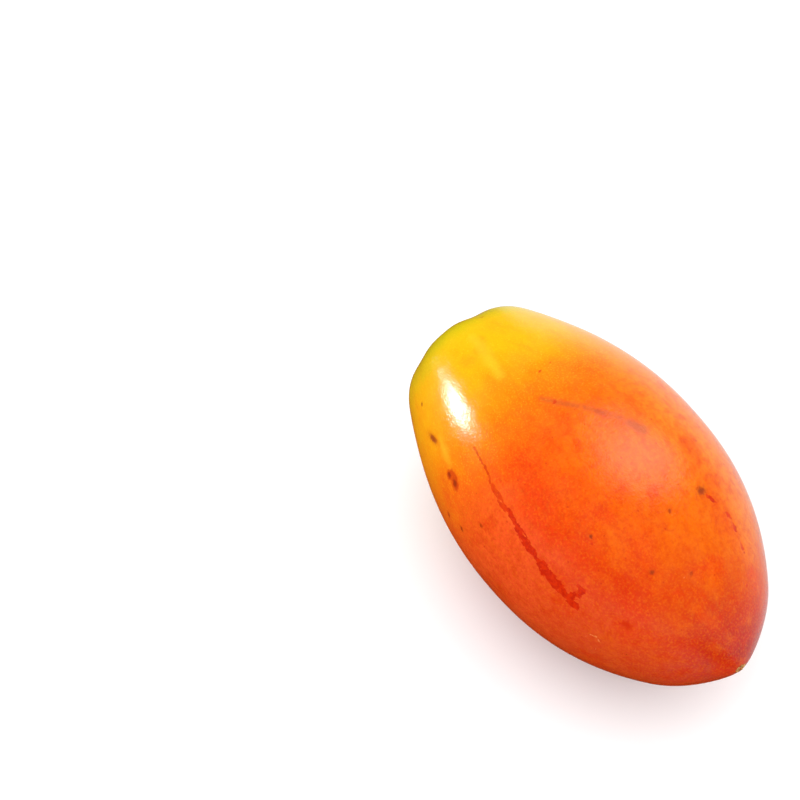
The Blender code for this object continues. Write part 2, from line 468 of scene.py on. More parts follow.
def closed_tube(rings, first, last):
    """Points and outward faces of rings that follow each other, closed by fans to two end points."""
    count, around = rings.shape[:2]
    points = np.concatenate([[first], rings.reshape(-1, 3), [last]])
    step = np.arange(around)
    near = 1 + np.arange(count - 1)[:, None] * around + step
    after = 1 + np.arange(count - 1)[:, None] * around + (step + 1) % around
    faces = np.stack([near, after, after + around, near + around], axis=-1).reshape(-1, 4).tolist()
    end = 1 + (count - 1) * around
    for here in range(around):
        there = (here + 1) % around
        faces.append([0, 1 + there, 1 + here])
        faces.append([end + around, end + here, end + there])
    return points, faces


def lay_down(points):
    """Moves points to where the solid lies, with its underside pressed flat on the floor."""
    laid = points - LAID_ORIGIN
    laid[:, 2] = np.maximum(laid[:, 2], 0.0)
    return laid


def build_piece(name, points, faces, marks, material):
    """A smooth piece of the fruit from points in mm, with a value at each point for each mark."""
    mesh = bpy.data.meshes.new(name)
    mesh.from_pydata((lay_down(points) * MM).tolist(), [], faces)
    for mark, values in marks.items():
        layer = mesh.attributes.new(mark, "FLOAT", "POINT")
        layer.data.foreach_set("value", np.asarray(values, np.float32))
    mesh.shade_smooth()
    mesh.materials.append(material)
    piece = bpy.data.objects.new(name, mesh)
    bpy.context.scene.collection.objects.link(piece)
    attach(piece, "root")
    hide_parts("fruit")


def rings_of(values):
    """Values at each ring's points, with the tube's two end points taken from the rings beside them."""
    return np.concatenate([[values[0, 0]], values.ravel(), [values[-1, 0]]])


def build_skin(material):
    """The skin with its seat for the scar, and the marks that its material colours."""
    along, turn = np.meshgrid(stations, turns, indexing="ij")
    plain = skin_points(along, turn).reshape(-1, 3)
    streak, streak_width = path_field(plain, RED_STREAKS)
    fields = {
        "brown_spot": spot_field(plain, BROWN_SPOTS + scattered_spots()),
        "red_spot": spot_field(plain, RED_SPOTS),
        "red_bloom": spot_field(plain, RED_BLOOMS),
        "streak": streak,
        "streak_width": streak_width,
        "smear": path_field(plain, SMEARS)[0],
        "scuff": path_field(plain, SCUFFS)[0],
        "rib_highlight": path_field(plain, RIB_HIGHLIGHTS)[0],
    }
    fields = {mark: values.reshape(along.shape) for mark, values in fields.items()}
    radius = body_radius(along)
    fields["along"] = along
    fields["lip"] = lobe_band(along, radius, turn, LIP_RADIUS, LIP_WIDTH)
    fields["dip"] = lobe_band(along, radius, turn, DIP_RADIUS, DIP_WIDTH)
    fields["turn_cosine"] = np.cos(np.radians(turn))
    fields["turn_sine"] = np.sin(np.radians(turn))
    lift = -SKIN_INSET - SPOT_SINK * bell(fields["brown_spot"], SPOT_SINK_REACH)
    lift = lift - STREAK_SINK * smooth_step(fields["streak"], STREAK_SINK_REACH, -STREAK_SINK_REACH)
    rings = skin_points(along, turn, lift)
    seat = np.repeat(rings[:1], len(SEAT_SHARES), axis=0)
    seat[..., 0] += SEAT_DEPTH
    seat[..., 1:] *= np.array(SEAT_SHARES)[:, None, None]
    rings = np.concatenate([seat, rings])
    first = np.array([seat[0, :, 0].mean(), 0.0, 0.0])
    last = np.array([rings[-1, :, 0].mean(), 0.0, 0.0])
    points, faces = closed_tube(rings, first, last)
    marks = {
        mark: rings_of(np.concatenate([np.repeat(values[:1], len(SEAT_SHARES), axis=0), values]))
        for mark, values in fields.items()
    }
    build_piece("skin", points, faces, marks, material)


def rough(y, z, unevenness):
    """Fractal unevenness about zero at a place in mm."""
    height, size, pattern = unevenness
    place = Vector((y, z, pattern)) / size
    return height * noise.fractal(place, FRACTAL_FADE, FRACTAL_STEP, FRACTAL_LAYERS)


def scar_pit(y, z, radius):
    """How deep in one of the scar's hollows a place is, from 0 to 1."""
    deepest = 0.0
    for turn, share, length, width in SCAR_PITS:
        middle = share * radius
        angle = math.radians(turn)
        across = y * math.cos(angle) + z * math.sin(angle) - middle
        beside = z * math.cos(angle) - y * math.sin(angle)
        across += beside * beside / (2 * middle) + rough(y, z, (PIT_WANDER, PIT_LUMP, turn))
        deepest = max(deepest, math.exp(-((2 * across / width) ** 4) - (2 * beside / length) ** 4))
    return deepest


def scar_patch(y, z):
    """How far up the scar's middle patch a place is, from 0 to 1."""
    distance = max(abs(y * weight_y + z * weight_z + shift) for weight_y, weight_z, shift in PATCH_SIDES)
    return float(smooth_step(distance + rough(y, z, PATCH_TEAR), PATCH_FOOT, PATCH_TOP))


def build_stem_scar(material):
    """Pale cork disc with a raised middle, hollows round it and a torn dark rim."""
    angles = np.arange(SCAR_AROUND) * 360.0 / SCAR_AROUND
    beside = skin_points(stations[0], angles)[:, 0]
    shares = np.concatenate([np.linspace(SCAR_MIDDLE_SHARE, 1.0, SCAR_RINGS), np.ones(SCAR_SIDE_RINGS)])
    side_sinks = np.linspace(SCAR_FIRST_SINK, 1.0, SCAR_SIDE_RINGS)
    sinks = np.concatenate([np.zeros(SCAR_RINGS), side_sinks])
    rings = np.zeros((len(shares), SCAR_AROUND, 3))
    pit = np.zeros(rings.shape[:2])
    patch = np.zeros(rings.shape[:2])
    for step, angle in enumerate(np.radians(angles)):
        edge = SCAR_RADIUS + SCAR_WAVE * math.sin(2 * angle) + SCAR_WAVE * math.cos(5 * angle) / 2
        cosine, sine = math.cos(angle), math.sin(angle)
        torn = rough(edge * cosine, edge * sine, RIM_TEAR)
        for ring, (share, sink) in enumerate(zip(shares, sinks)):
            radius = share * (edge + torn * share**6)
            y, z = radius * cosine, radius * sine
            pit[ring, step] = scar_pit(y, z, edge)
            patch[ring, step] = scar_patch(y, z)
            rim = math.exp(-(((share - RIM_SHARE) / RIM_WIDTH) ** 2))
            height = SCAR_HEIGHT + PATCH_HEIGHT * patch[ring, step] - PIT_DEPTH * pit[ring, step]
            height += RIM_HEIGHT * rim * (1 + rough(y, z, RIM_CRESTS))
            height += rough(y, z, CORK_GRAIN) + rough(y, z, CORK_WAVE)
            height = min(height, SCAR_HEIGHT + PATCH_HEIGHT + SCAR_HEADROOM)
            rings[ring, step] = (beside[step] - height * (1 - sink) + SCAR_FOOT * sink, y, z)
    points, faces = closed_tube(rings, rings[0].mean(axis=0), rings[-1].mean(axis=0))
    marks = {
        "pit": rings_of(pit),
        "patch": rings_of(patch),
        "share": rings_of(np.repeat(shares[:, None], SCAR_AROUND, axis=1)),
    }
    build_piece("stem_scar", points, faces, marks, material)


def build_style_scar(material):
    """Small dry flaky nub where the flower's style was."""
    base = float(skin_points(LENGTH - STYLE_SEAT, turns)[:, 0].mean())
    rings = np.zeros((STYLE_RINGS + 2, STYLE_AROUND, 3))
    shares = np.ones(rings.shape[:2])
    for step in range(STYLE_AROUND):
        angle = 2 * math.pi * step / STYLE_AROUND
        cosine, sine = math.cos(angle), math.sin(angle)
        edge = STYLE_RADIUS * (1 + rough(STYLE_TEAR_REACH * cosine, STYLE_TEAR_REACH * sine, STYLE_TEAR))
        root = STYLE_ROOT_SHARE * edge
        rings[0, step] = (base - STYLE_ROOT_DEPTH, root * cosine, root * sine)
        rings[1, step] = (base - STYLE_SIDE_DEPTH, edge * cosine, edge * sine)
        for ring in range(STYLE_RINGS):
            share = 1 - (ring + 0.5) / STYLE_RINGS
            y, z = share * edge * cosine, share * edge * sine
            dome = STYLE_HEIGHT * math.sqrt(1 - share**3)
            crater = CRATER_DEPTH * math.exp(-((share / CRATER_SHARE) ** 2))
            height = dome * (STYLE_EVENNESS + rough(y, z, STYLE_FLAKES)) - crater
            rings[ring + 2, step] = (base + min(height, STYLE_HEIGHT) - STYLE_INSET, y, z)
            shares[ring + 2, step] = share
    points, faces = closed_tube(rings, rings[0].mean(axis=0), rings[-1].mean(axis=0))
    build_piece("style_scar", points, faces, {"share": rings_of(shares)}, material)


def screen_colour(red, green, blue):
    """A colour from its levels of 0 to 255 on a screen, by the usual curve of screens."""
    levels = np.array([red, green, blue]) / 255.0
    linear = np.where(levels <= 0.04045, levels / 12.92, ((levels + 0.055) / 1.055) ** 2.4)
    return (*linear.tolist(), 1.0)


def add_node(tree, kind, sockets=None, **settings):
    """A shader node whose sockets are linked, or set where the value isn't a socket."""
    made = tree.nodes.new("ShaderNode" + kind)
    for name, value in settings.items():
        setattr(made, name, value)
    for place, value in (sockets or {}).items():
        if isinstance(value, bpy.types.NodeSocket):
            tree.links.new(value, made.inputs[place])
        else:
            made.inputs[place].default_value = value
    return made


def calculate(tree, operation, first, second):
    return add_node(tree, "Math", {0: first, 1: second}, operation=operation).outputs[0]


def ease(tree, value, low, high):
    """A soft step from 0 where the value is low to 1 where it is high."""
    sockets = {"Value": value, "From Min": low, "From Max": high}
    return add_node(tree, "MapRange", sockets, interpolation_type="SMOOTHSTEP").outputs["Result"]


def between(tree, share, low, high):
    """A value that goes from low to high as the share goes from 0 to 1."""
    sockets = {"Value": share, "To Min": low, "To Max": high}
    return add_node(tree, "MapRange", sockets).outputs["Result"]


def lumps(tree, place, size, height, detail=2.0):
    """Random unevenness about zero, in lumps of a size in mm and with a height from low to high."""
    sockets = {"Vector": place, "Scale": 1 / size, "Detail": detail}
    centred = calculate(tree, "SUBTRACT", add_node(tree, "TexNoise", sockets).outputs["Fac"], 0.5)
    return both(tree, centred, height)


def both(tree, first, second):
    """Where both masks are up, or one value at the strength of another."""
    return calculate(tree, "MULTIPLY", first, second)


def sum_of(tree, *terms):
    total = terms[0]
    for term in terms[1:]:
        total = calculate(tree, "ADD", total, term)
    return total


def blend(tree, share, under, over):
    """The colour under, or the colour over where the share is 1."""
    return add_node(tree, "Mix", {0: share, 6: under, 7: over}, data_type="RGBA").outputs[2]


def two_tone(tree, mask, tones):
    """The first of two screen colours, and the second where the mask is up."""
    return blend(tree, mask, screen_colour(*tones[0]), screen_colour(*tones[1]))


def tint(tree, colour, name, *masks):
    """The colour with a tint laid over it where all the masks are up. A few tints are painted sheens and
    highlights.
    """
    levels, share = TINTS[name]
    for mask in masks:
        share = both(tree, mask, share)
    return blend(tree, share, colour, screen_colour(*levels))


def ramp(tree, share, stops):
    """Colours that follow a share, from stops with a place and a colour."""
    made = add_node(tree, "ValToRGB", {"Fac": share})
    band = made.color_ramp
    band.interpolation = "B_SPLINE"
    while len(band.elements) < len(stops):
        band.elements.new(0.5)
    for element, (place, colour) in zip(band.elements, stops):
        element.position = place
        element.color = colour
    return made.outputs["Color"]


def mark_value(tree, name):
    return add_node(tree, "Attribute", attribute_name=name, attribute_type="GEOMETRY").outputs["Fac"]


def mark_mask(tree, name, unevenness, edge):
    """Mask of a mark. Its value is made uneven, and then eased between the two levels of its edge."""
    return ease(tree, sum_of(tree, mark_value(tree, name), unevenness), *edge)


def stretched(tree, place, times):
    """The place, for patterns that are pulled out along the fruit's axis."""
    scale = (1 / times, 1.0, 1.0)
    return add_node(tree, "VectorMath", {0: place, 1: scale}, operation="MULTIPLY").outputs[0]


def place_in_mm(tree):
    coordinates = add_node(tree, "TexCoord").outputs["Object"]
    return add_node(tree, "VectorMath", {0: coordinates, "Scale": 1 / MM}, operation="SCALE").outputs[0]


def new_group(name, values):
    """A shader node group that makes a mask from a place and named values. Returns its tree and sockets."""
    tree = bpy.data.node_groups.new(name, "ShaderNodeTree")
    tree.interface.new_socket("Place", in_out="INPUT", socket_type="NodeSocketVector")
    for label, value in values.items():
        socket = tree.interface.new_socket(label, in_out="INPUT", socket_type="NodeSocketFloat")
        socket.default_value = value
    tree.interface.new_socket("Mask", in_out="OUTPUT", socket_type="NodeSocketFloat")
    start = tree.nodes.new("NodeGroupInput")
    end = tree.nodes.new("NodeGroupOutput")
    return tree, start.outputs, end.inputs["Mask"]


# Raggedness of the mottle's patches, spread of the unevenness round a fleck, and how far a fleck fades out
MOTTLE_ROUGHNESS = 0.55
FLECK_RAGGEDNESS = 5.0
FLECK_FADE = 1.7


def make_mottle_group():
    """Cloudy patches of a size, with edges between two levels."""
    tree, start, end = new_group("mottle", {"Size": 1.0, "Detail": 3.0, "Low": 0.4, "High": 0.6})
    scale = calculate(tree, "DIVIDE", 1.0, start["Size"])
    sockets = {
        "Vector": start["Place"],
        "Scale": scale,
        "Detail": start["Detail"],
        "Roughness": MOTTLE_ROUGHNESS,
    }
    cloud = add_node(tree, "TexNoise", sockets).outputs["Fac"]
    tree.links.new(ease(tree, cloud, start["Low"], start["High"]), end)


def make_fleck_group():
    """Small ragged flecks, one in a share of the cells that a spacing makes."""
    tree, start, end = new_group("flecks", {"Spacing": 1.0, "Radius": 0.2, "Share": 0.5})
    scale = calculate(tree, "DIVIDE", 1.0, start["Spacing"])
    cells = add_node(tree, "TexVoronoi", {"Vector": start["Place"], "Scale": scale}, feature="F1")
    away = calculate(tree, "MULTIPLY", cells.outputs["Distance"], start["Spacing"])
    sockets = {"Vector": start["Place"], "Scale": FLECK_RAGGEDNESS, "Detail": 1.0}
    ragged = add_node(tree, "TexNoise", sockets).outputs["Fac"]
    away = sum_of(tree, away, both(tree, ragged, start["Radius"]))
    outer = calculate(tree, "MULTIPLY", start["Radius"], FLECK_FADE)
    draw = add_node(tree, "SeparateColor", {"Color": cells.outputs["Color"]}).outputs["Red"]
    chosen = calculate(tree, "LESS_THAN", draw, start["Share"])
    tree.links.new(both(tree, ease(tree, away, outer, start["Radius"]), chosen), end)


def group_mask(tree, group, place, values):
    sockets = {label.capitalize(): value for label, value in values.items()}
    sockets["Place"] = place
    return add_node(tree, "Group", sockets, node_tree=bpy.data.node_groups[group]).outputs["Mask"]


def mottle(tree, place, **values):
    return group_mask(tree, "mottle", place, values)


def flecks(tree, place, **values):
    return group_mask(tree, "flecks", place, values)


def new_material(name):
    material = bpy.data.materials.new(name)
    material.use_nodes = True
    return material, material.node_tree, material.node_tree.nodes["Principled BSDF"]


def finish_surface(tree, shader, colour, roughness, height):
    """Feeds the shader a colour, a roughness and the slopes of a height in mm."""
    tree.links.new(colour, shader.inputs["Base Color"])
    tree.links.new(roughness, shader.inputs["Roughness"])
    bump = add_node(tree, "Bump", {"Strength": 1.0, "Distance": MM, "Height": height})
    tree.links.new(bump.outputs["Normal"], shader.inputs["Normal"])


# Colours of the skin as it ripens from the stem end on: place in mm and colour. Their darkening towards the
# blossom end is partly the skin's deeper red and partly painted shade
RIPENING_AND_TIP_SHADE = (
    (0.0, (102, 134, 11)),
    (3.1, (161, 168, 16)),
    (5.8, (210, 186, 10)),
    (9.5, (236, 176, 3)),
    (15.0, (240, 176, 3)),
    (19.0, (240, 165, 3)),
    (24.0, (238, 148, 3)),
    (30.0, (238, 107, 2)),
    (36.0, (235, 80, 1)),
    (44.0, (232, 66, 1)),
    (50.0, (219, 53, 1)),
    (56.0, (215, 54, 1)),
    (65.0, (200, 43, 1)),
    # Painted shade in part: the darker stops towards the blossom end
    (74.0, (194, 44, 9)),
    (79.0, (184, 38, 20)),
    (83.0, (150, 28, 30)),
)

# Tints laid over the ripening skin and the dry scars: screen colour and strength. The pink tints of the left
# flank and the tip are a painted sheen, and the pale tint of the lobes' bands is a painted highlight
TINTS = {
    "upper_flank": ((235, 124, 8), 0.5),
    "right_flank": ((240, 150, 22), 0.5),
    # Painted sheen: the next two are a pale pink haze on the left flank and on the left side of the tip
    "left_flank_sheen": ((236, 114, 66), 0.28),
    "tip": ((206, 84, 88), 0.24),
    "dip": ((104, 132, 14), 0.55),
    "red_bloom": ((214, 44, 2), 0.42),
    "red_patch": ((212, 48, 2), 0.6),
    "pale_patch": ((236, 116, 6), 0.3),
    "cloud": ((200, 44, 2), 0.45),
    "stipple": ((238, 132, 12), 0.24),
    "bright_grain": ((248, 212, 40), 1.0),
    "pale_dots": ((244, 212, 60), 0.35),
    # Painted highlight: the pale bands on the lobes
    "rib_highlight": ((244, 200, 44), 0.4),
    "grit": ((186, 36, 4), 0.3),
    "red_flecks": ((180, 30, 6), 0.5),
    "brown_flecks": ((150, 60, 14), 0.6),
    "smear": ((150, 64, 42), 0.52),
    "red_spot": ((196, 44, 8), 0.75),
    "brown_halo": ((190, 66, 8), 0.3),
    "brown_spot": ((146, 46, 9), 0.76),
    "brown_core": ((74, 26, 8), 0.35),
    "lip_scuff": ((226, 200, 120), 0.75),
    "scuff": ((238, 150, 80), 0.5),
    "cork_patch": ((236, 230, 186), 0.6),
    "cork_grain": ((168, 142, 76), 0.4),
    "cork_pit": ((128, 96, 34), 0.8),
    "cork_crumbs": ((120, 82, 36), 0.5),
    "style_crumbs": ((60, 34, 18), 0.7),
    "style_middle": ((70, 40, 20), 0.7),
}

# Red streaks: their two tones, their strength, and how strong and how ragged they are where thin
STREAK_TONES = ((178, 18, 1), (204, 36, 1))
STREAK_STRENGTH = 0.85
THIN_STREAK_STRENGTH = 0.6
THIN_STREAK_RAGGEDNESS = 0.3

# Strength of the bright grain where the skin is ripe and where it isn't
BRIGHT_GRAIN_STRENGTH = (0.03, 0.2)

# How far the fibres and the ragged edges of streaks are pulled out along the fruit
FIBRE_STRETCH = 8.0
STREAK_STRETCH = 1.6

# Places along the fruit in mm between which a look sets in, from where it is absent to where it is full
RIPE_START = (24.0, 44.0)
CALM_START = (14.0, 4.0)
GREEN_END = (3.0, 12.0)
UPPER_FLANK_END = (82.0, 66.0)
RIGHT_FLANK_START = (18.0, 30.0)
RIGHT_FLANK_END = (80.0, 62.0)
# Where the painted sheen of the left flank and of the tip sets in
LEFT_FLANK_END = (88.0, 68.0)
TIP_SHEEN_START = (73.0, 81.0)

# Share of the ripening's unevenness that is left where the skin is calm, near the stem
CALM_SHARE = 0.25

# How near to a flank's line its tint sets in, as the cosine of the turn between them (on the left flank this
# tint is a painted sheen), and how much of the upper flank's unevenness the edges of the other two have
UPPER_FLANK_EDGE = (0.5, 1.05)
RIGHT_FLANK_EDGE = (0.6, 1.0)
LEFT_FLANK_EDGE = (0.76, 0.96)
SIDE_FLANK_SHARE = 0.5

# Edges of the marks, from where each is absent to where it is full: mm from the edge of a path, or its
# half width in mm, sizes of a spot from its middle, or strength of a lip
BLOOM_EDGE = (1.5, 0.1)
RIB_HIGHLIGHT_EDGE = (1.2, -0.6)
STREAK_EDGE = (0.16, 0.02)
STREAK_WIDTHS = (0.06, 0.42)
SMEAR_EDGE = (0.9, -0.5)
RED_SPOT_EDGE = (1.35, 0.6)
BROWN_SPOT_EDGES = ((2.1, 0.9), (1.25, 0.55), (0.7, 0.1))
SCUFF_EDGE = (0.08, -0.05)
LIP_SCUFF_EDGE = (0.86, 1.02)

# How the skin takes the light, and how deep in mm its bump dips in a streak
SKIN_SPECULAR = 0.32
SKIN_ROUGHNESS = (0.11, 0.17)
SCUFF_ROUGHNESS = 0.25
SPOT_ROUGHNESS = 0.06
STREAK_DIP = -0.004


def ripening_and_tip_shade_colour(tree, place, fibres, along):
    """The ground colour of the skin, partly painted shade where it darkens towards the blossom end, and how
    ripe the skin is, from 0 to 1.
    """
    wander = sum_of(
        tree,
        lumps(tree, place, size=13.0, height=13.0),
        lumps(tree, place, size=3.5, height=3.5, detail=4.0),
        lumps(tree, fibres, size=1.6, height=5.0, detail=3.0),
    )
    calm = between(tree, ease(tree, along, *CALM_START), 1.0, CALM_SHARE)
    ripe_place = sum_of(tree, along, both(tree, wander, calm))
    stops = [(stop / LENGTH, screen_colour(*levels)) for stop, levels in RIPENING_AND_TIP_SHADE]
    colour = ramp(tree, calculate(tree, "DIVIDE", ripe_place, LENGTH), stops)
    return colour, ease(tree, ripe_place, *RIPE_START)


def flank_mask(tree, turn, unevenness, edge):
    """Mask of the flank round a turn. The cosine of the turn to it is 1 on the flank's line."""
    cosine = both(tree, mark_value(tree, "turn_cosine"), math.cos(math.radians(turn)))
    sine = both(tree, mark_value(tree, "turn_sine"), math.sin(math.radians(turn)))
    return ease(tree, sum_of(tree, cosine, sine, unevenness), *edge)


def tint_flanks_and_sheen(tree, colour, place, along, ripe):
    """More yellow upper and right flanks, a pale pink painted sheen on the left flank, and a dull pink
    painted sheen on the left side of the tip.
    """
    uneven = lumps(tree, place, size=9.0, height=0.5, detail=3.0)
    less_uneven = both(tree, uneven, SIDE_FLANK_SHARE)
    upper = flank_mask(tree, UPPER_FLANK_TURN, uneven, UPPER_FLANK_EDGE)
    colour = tint(tree, colour, "upper_flank", upper, ripe, ease(tree, along, *UPPER_FLANK_END))
    right = flank_mask(tree, RIGHT_FLANK_TURN, less_uneven, RIGHT_FLANK_EDGE)
    right_start = ease(tree, along, *RIGHT_FLANK_START)
    right_end = ease(tree, along, *RIGHT_FLANK_END)
    colour = tint(tree, colour, "right_flank", right, right_start, right_end)
    # Painted sheen: pale pink on the left flank, and dull pink on the left side of the tip
    left = flank_mask(tree, LEFT_FLANK_TURN, less_uneven, LEFT_FLANK_EDGE)
    colour = tint(tree, colour, "left_flank_sheen", left, ripe, ease(tree, along, *LEFT_FLANK_END))
    return tint(tree, colour, "tip", left, ease(tree, along, *TIP_SHEEN_START))


def dye_patches(tree, colour, place, fibres, past_green, ripe):
    """Green dips beyond the lips, soft red blooms and cloudy patches."""
    colour = tint(tree, colour, "dip", mark_value(tree, "dip"))
    bloom_lumps = lumps(tree, place, size=2.4, height=1.6, detail=4.0)
    bloom = mark_mask(tree, "red_bloom", bloom_lumps, BLOOM_EDGE)
    colour = tint(tree, colour, "red_bloom", bloom, ripe)
    red_patch = mottle(tree, place, size=7.0, detail=4.0, low=0.5, high=0.7)
    colour = tint(tree, colour, "red_patch", red_patch, ripe)
    pale_patch = mottle(tree, fibres, size=3.0, detail=3.0, low=0.45, high=0.8)
    colour = tint(tree, colour, "pale_patch", pale_patch, past_green)
    cloud = mottle(tree, place, size=1.6, detail=5.0, low=0.38, high=0.72)
    return tint(tree, colour, "cloud", cloud, ripe)


def tint_grain_and_rib_highlights(tree, colour, place, past_green, ripe):
    """Stipple, bright grain and pale dots of the unripe skin, painted highlights on the lobes, grit and
    flecks of the ripe skin.
    """
    unripe = calculate(tree, "SUBTRACT", 1.0, ripe)
    stipple = mottle(tree, place, size=0.4, detail=2.0, low=0.42, high=0.78)
    colour = tint(tree, colour, "stipple", stipple, past_green)
    bright = mottle(tree, place, size=0.36, detail=3.0, low=0.46, high=0.72)
    colour = tint(tree, colour, "bright_grain", bright, between(tree, unripe, *BRIGHT_GRAIN_STRENGTH))
    pale_dots = flecks(tree, place, spacing=0.6, radius=0.12, share=0.6)
    colour = tint(tree, colour, "pale_dots", pale_dots, unripe)
    # Painted highlight: pale bands that run down from the calyx
    rib_lumps = lumps(tree, place, size=2.0, height=0.8)
    colour = tint(tree, colour, "rib_highlight", mark_mask(tree, "rib_highlight", rib_lumps, RIB_HIGHLIGHT_EDGE))
    grit = mottle(tree, place, size=0.6, detail=3.0, low=0.6, high=0.25)
    colour = tint(tree, colour, "grit", grit, ripe)
    red_flecks = flecks(tree, place, spacing=1.6, radius=0.2, share=0.3)
    colour = tint(tree, colour, "red_flecks", red_flecks, ripe)
    brown_flecks = flecks(tree, place, spacing=4.2, radius=0.13, share=0.25)
    return tint(tree, colour, "brown_flecks", brown_flecks)


def dye_streaks(tree, colour, place):
    """Ragged red streaks, fainter and less ragged where they are thin. Returns their mask too."""
    wide = ease(tree, mark_value(tree, "streak_width"), *STREAK_WIDTHS)
    blocks = stretched(tree, place, STREAK_STRETCH)
    ragged = lumps(tree, blocks, size=0.6, height=1.9, detail=3.0)
    ragged = both(tree, ragged, between(tree, wide, THIN_STREAK_RAGGEDNESS, 1.0))
    streak = mark_mask(tree, "streak", ragged, STREAK_EDGE)
    streak = both(tree, streak, between(tree, wide, THIN_STREAK_STRENGTH, 1.0))
    tone = mottle(tree, place, size=0.8, detail=3.0, low=0.35, high=0.65)
    red = two_tone(tree, tone, STREAK_TONES)
    return blend(tree, both(tree, streak, STREAK_STRENGTH), colour, red), streak


def dye_spots(tree, colour, place):
    """Rubbed smears, red spots and brown spots with a darker core. Returns the brown spots' mask too."""
    smear_lumps = lumps(tree, place, size=1.4, height=1.0, detail=3.0)
    colour = tint(tree, colour, "smear", mark_mask(tree, "smear", smear_lumps, SMEAR_EDGE))
    spot_lumps = lumps(tree, place, size=0.6, height=0.9, detail=3.0)
    colour = tint(tree, colour, "red_spot", mark_mask(tree, "red_spot", spot_lumps, RED_SPOT_EDGE))
    halo, spot, core = (mark_mask(tree, "brown_spot", spot_lumps, edge) for edge in BROWN_SPOT_EDGES)
    colour = tint(tree, colour, "brown_halo", halo)
    colour = tint(tree, colour, "brown_spot", spot)
    return tint(tree, colour, "brown_core", core), spot


def dye_scuffs(tree, colour, place):
    """Pale corky scuffs on the lips and elsewhere. Returns their mask too."""
    lip_lumps = lumps(tree, place, size=0.5, height=0.9, detail=4.0)
    lip_scuff = mark_mask(tree, "lip", lip_lumps, LIP_SCUFF_EDGE)
    colour = tint(tree, colour, "lip_scuff", lip_scuff)
    scuff_lumps = lumps(tree, place, size=0.5, height=0.3, detail=3.0)
    scuff = mark_mask(tree, "scuff", scuff_lumps, SCUFF_EDGE)
    colour = tint(tree, colour, "scuff", scuff)
    return colour, calculate(tree, "MAXIMUM", scuff, lip_scuff)


def make_skin_material():
    """Thin glossy skin: the ripening ground colour with painted shade towards the blossom end. Over it go
    flanks with a painted sheen on the left, patches, grain with painted highlights on the lobes, and marks.
    """
    material, tree, shader = new_material("tamarillo_skin")
    place = place_in_mm(tree)
    fibres = stretched(tree, place, FIBRE_STRETCH)
    along = mark_value(tree, "along")
    past_green = ease(tree, along, *GREEN_END)
    colour, ripe = ripening_and_tip_shade_colour(tree, place, fibres, along)
    colour = tint_flanks_and_sheen(tree, colour, place, along, ripe)
    colour = dye_patches(tree, colour, place, fibres, past_green, ripe)
    colour = tint_grain_and_rib_highlights(tree, colour, place, past_green, ripe)
    colour, streak = dye_streaks(tree, colour, place)
    colour, spot = dye_spots(tree, colour, place)
    colour, scuff = dye_scuffs(tree, colour, place)

    worn = mottle(tree, place, size=5.0, detail=3.0, low=0.35, high=0.7)
    roughness = sum_of(
        tree,
        between(tree, worn, *SKIN_ROUGHNESS),
        both(tree, scuff, SCUFF_ROUGHNESS),
        both(tree, spot, SPOT_ROUGHNESS),
    )
    shader.inputs["Specular IOR Level"].default_value = SKIN_SPECULAR

    pores = lumps(tree, place, size=0.36, height=0.046)
    dimples = lumps(tree, place, size=1.6, height=0.03)
    swells = lumps(tree, place, size=6.0, height=0.07, detail=1.0)
    cork = both(tree, scuff, lumps(tree, place, size=0.25, height=0.08, detail=3.0))
    dips = both(tree, streak, STREAK_DIP)
    finish_surface(tree, shader, colour, roughness, sum_of(tree, pores, dimples, swells, cork, dips))
    return material


# The two tones of each dry surface, the edges of their marks and how the surfaces take the light
CORK_TONES = ((226, 214, 160), (196, 176, 112))
RIM_TONES = ((52, 30, 16), (104, 64, 30))
PIT_EDGE = (0.25, 0.95)
RIM_EDGE = (0.87, 0.93)
CORK_ROUGHNESS = (0.72, 0.9)
STYLE_TONES = ((196, 150, 84), (120, 74, 34))
MIDDLE_EDGE = (0.4, 0.15)
STYLE_ROUGHNESS = (0.7, 0.9)


def make_cork_material():
    """Pale dry cork with a torn dark rim."""
    material, tree, shader = new_material("dry_cork")
    place = place_in_mm(tree)
    warm = mottle(tree, place, size=1.1, detail=4.0, low=0.38, high=0.66)
    colour = tint(tree, two_tone(tree, warm, CORK_TONES), "cork_patch", mark_value(tree, "patch"))
    grain = mottle(tree, place, size=0.3, detail=4.0, low=0.4, high=0.65)
    colour = tint(tree, colour, "cork_grain", grain)
    pit = mark_mask(tree, "pit", lumps(tree, place, size=0.5, height=0.5), PIT_EDGE)
    colour = tint(tree, colour, "cork_pit", pit)
    crumbs = flecks(tree, place, spacing=0.6, radius=0.1, share=0.25)
    colour = tint(tree, colour, "cork_crumbs", crumbs)
    torn = lumps(tree, place, size=0.9, height=0.12, detail=4.0)
    rim_tone = mottle(tree, place, size=0.35, detail=3.0, low=0.4, high=0.65)
    rim_colour = two_tone(tree, rim_tone, RIM_TONES)
    colour = blend(tree, mark_mask(tree, "share", torn, RIM_EDGE), colour, rim_colour)
    fine = lumps(tree, place, size=0.16, height=0.05, detail=3.0)
    coarse = lumps(tree, place, size=0.5, height=0.1, detail=3.0)
    roughness = between(tree, grain, *CORK_ROUGHNESS)
    finish_surface(tree, shader, colour, roughness, sum_of(tree, fine, coarse))
    return material


def make_style_material():
    """Brown dry flakes with a dark middle."""
    material, tree, shader = new_material("dry_style")
    place = place_in_mm(tree)
    flaky = mottle(tree, place, size=0.5, detail=4.0, low=0.4, high=0.62)
    crumbs = flecks(tree, place, spacing=0.45, radius=0.09, share=0.35)
    colour = tint(tree, two_tone(tree, flaky, STYLE_TONES), "style_crumbs", crumbs)
    middle = ease(tree, mark_value(tree, "share"), *MIDDLE_EDGE)
    colour = tint(tree, colour, "style_middle", middle)
    fine = lumps(tree, place, size=0.14, height=0.05, detail=3.0)
    coarse = lumps(tree, place, size=0.35, height=0.08)
    roughness = between(tree, flaky, *STYLE_ROUGHNESS)
    finish_surface(tree, shader, colour, roughness, sum_of(tree, fine, coarse))
    return material


